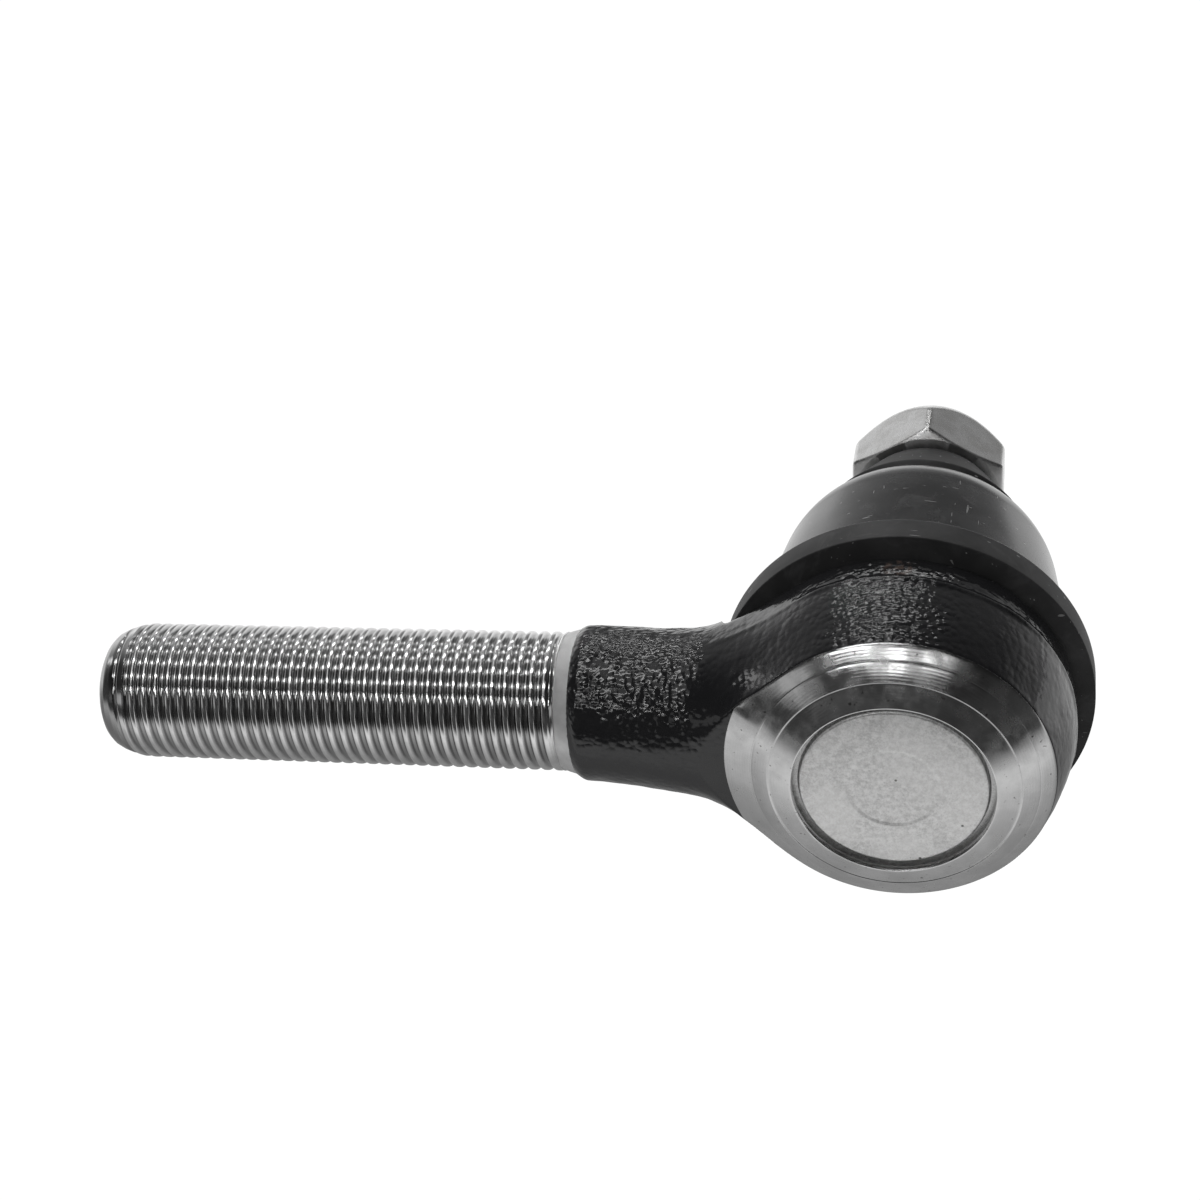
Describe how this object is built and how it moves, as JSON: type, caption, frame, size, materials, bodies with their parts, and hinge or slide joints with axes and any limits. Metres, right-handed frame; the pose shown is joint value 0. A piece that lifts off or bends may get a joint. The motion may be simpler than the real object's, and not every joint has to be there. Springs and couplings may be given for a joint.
{
  "type": "outer tie rod end",
  "caption": "Forged steering joint: a threaded shank and socket eye carrying a tapered ball stud under a rubber dust boot, with a self-locking nut.",
  "frame": {"origin": "centre of the ball, where the stud axis crosses the shank axis", "axes": "+Y along the stud towards the nut, -X along the threaded shank towards its tip, +Z across both"},
  "size_m": [0.1148, 0.0729, 0.042],
  "materials": {
    "black_forging": "glossy",
    "zinc_steel": "satin",
    "spring_steel": "satin",
    "bare_steel": "satin",
    "acetal": "satin",
    "boot_rubber": "satin",
    "nylon": "satin"
  },
  "bodies": {
    "socket": {"housing": "black_forging", "cover_plate": "zinc_steel", "preload_spring": "spring_steel", "upper_seat": "acetal", "dust_boot": "boot_rubber", "boot_insert_ring": "bare_steel"},
    "floating_seat": {"lower_seat": "acetal"},
    "boot_collar": {"boot_collar_ring": "spring_steel"},
    "stud": {"ball_stud": "bare_steel", "lock_nut": "zinc_steel", "nut_insert": "nylon"}
  },
  "joints": [
    {"name": "stud_swing_across", "type": "hinge", "parent": "socket", "child": "floating_seat", "pos_m": [0, 0, 0], "axis": [1, 0, 0], "range_deg": [-20, 20], "deforming": ["dust_boot"]},
    {"name": "stud_swing_along", "type": "hinge", "parent": "floating_seat", "child": "boot_collar", "pos_m": [0, 0, 0], "axis": [0, 0, 1], "range_deg": [-20, 20], "deforming": ["dust_boot"]},
    {"name": "stud_spin", "type": "hinge", "parent": "boot_collar", "child": "stud", "pos_m": [0, 0, 0], "axis": [0, 1, 0], "continuous": true}
  ]
}
